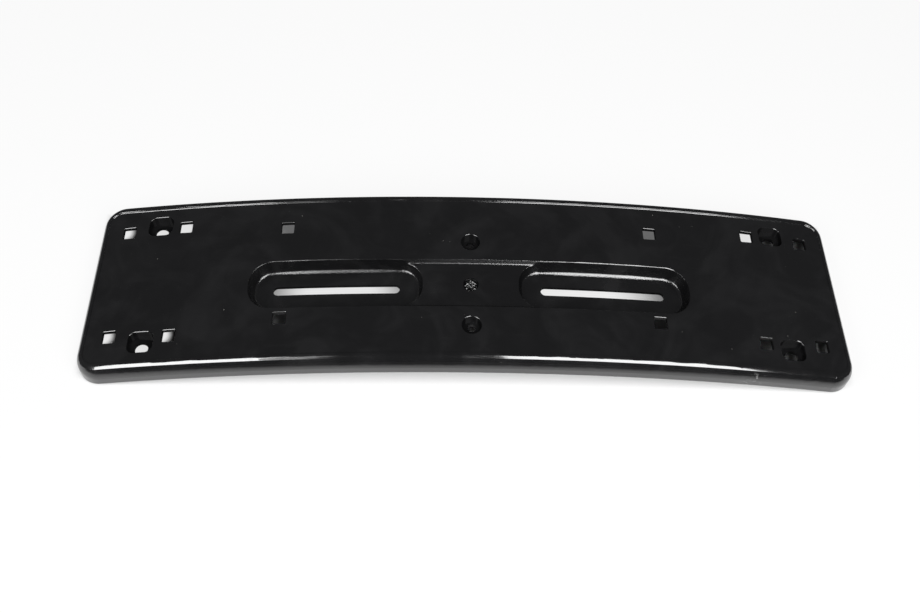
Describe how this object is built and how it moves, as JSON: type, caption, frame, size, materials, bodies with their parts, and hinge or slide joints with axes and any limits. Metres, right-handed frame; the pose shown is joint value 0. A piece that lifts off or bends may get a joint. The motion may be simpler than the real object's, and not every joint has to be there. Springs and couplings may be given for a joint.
{
  "type": "number plate holder",
  "caption": "Long arched moulded plastic number plate holder with a raised bead, slotted pockets, square clip holes and recessed screw holes, for fixing a plate to a bumper.",
  "frame": {"origin": "under the middle of the holder, on the plane that its two ends stand on", "axes": "+X along the plate's length, +Y up the plate, +Z out of the face at the middle"},
  "size_m": [0.5288, 0.1402, 0.0389],
  "materials": {
    "black_plastic": "glossy black moulded plastic with handling marks and fine scratches"
  },
  "bodies": {
    "root": {"plate_holder": "black_plastic"}
  },
  "joints": []
}
